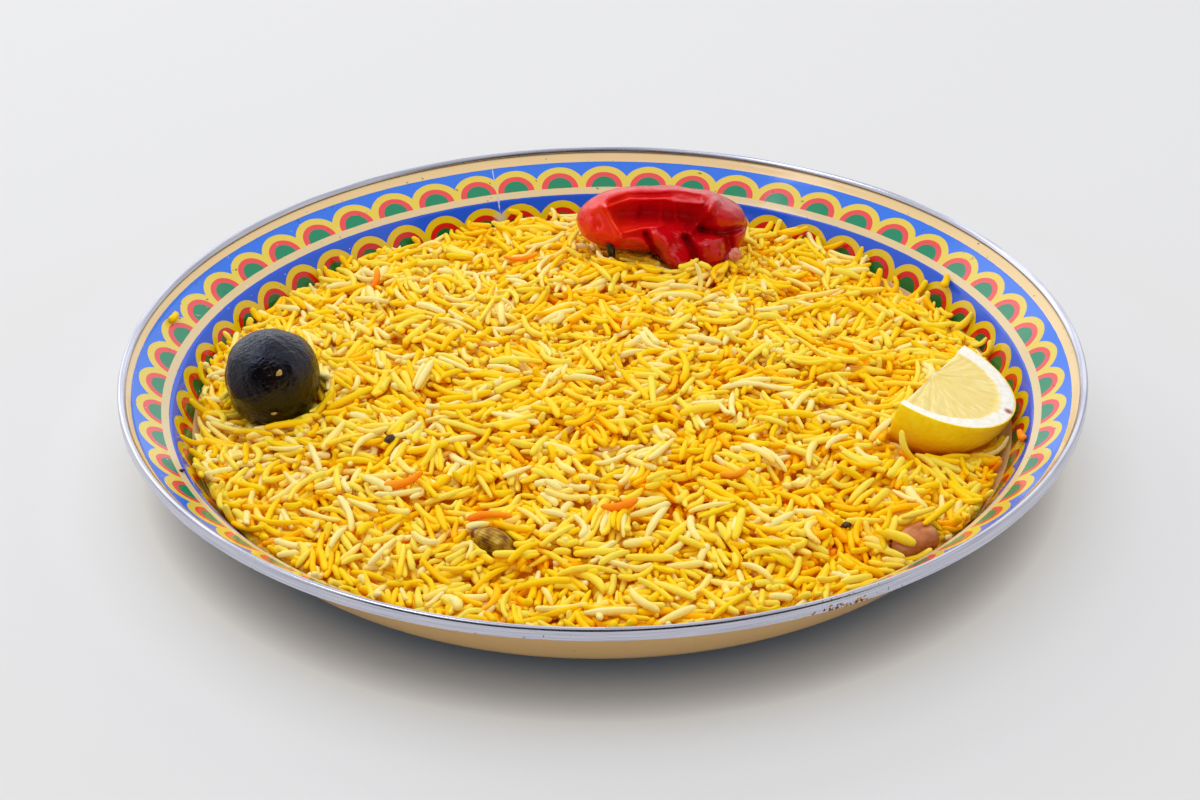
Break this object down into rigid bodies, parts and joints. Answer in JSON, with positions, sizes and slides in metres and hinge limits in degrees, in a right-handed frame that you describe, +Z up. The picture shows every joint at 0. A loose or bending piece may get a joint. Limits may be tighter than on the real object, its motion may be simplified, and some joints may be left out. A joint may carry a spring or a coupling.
{
  "type": "plate of mandi rice",
  "caption": "Low heap of yellow spiced long-grain rice on a round enamelled plate with a metal rim, topped with a red pepper, dried lime, lemon wedge, cardamom pod and raisin.",
  "frame": {"origin": "on the table under the middle of the plate, at the bottom of the plate's flat foot", "axes": "+Z up, -Y towards the diner, so the pepper lies at the far side (+Y), the lemon wedge at +X and the dried lime at -X"},
  "size_m": [0.298, 0.298, 0.0434],
  "materials": {
    "enamel": "glossy vitreous enamel with a coloured border",
    "rim_steel": "polished rolled strip with small rust spots",
    "rice": "moist cooked grain",
    "pepper_skin": "wet, glossy, wrinkled skin",
    "dry_stalk": "dry",
    "dried_lime": "hard dark rind with a sheen",
    "lemon": "waxy zest, white pith and wet flesh",
    "cardamom_husk": "dry ribbed husk",
    "raisin_skin": "soft moist skin"
  },
  "bodies": {
    "root": {"plate": "enamel", "rim_band": "rim_steel", "rice_heap": "rice", "red_pepper": "pepper_skin", "pepper_stem": "dry_stalk", "black_lime": "dried_lime", "lemon_wedge": "lemon", "cardamom_pod": "cardamom_husk", "raisin": "raisin_skin"}
  },
  "joints": []
}
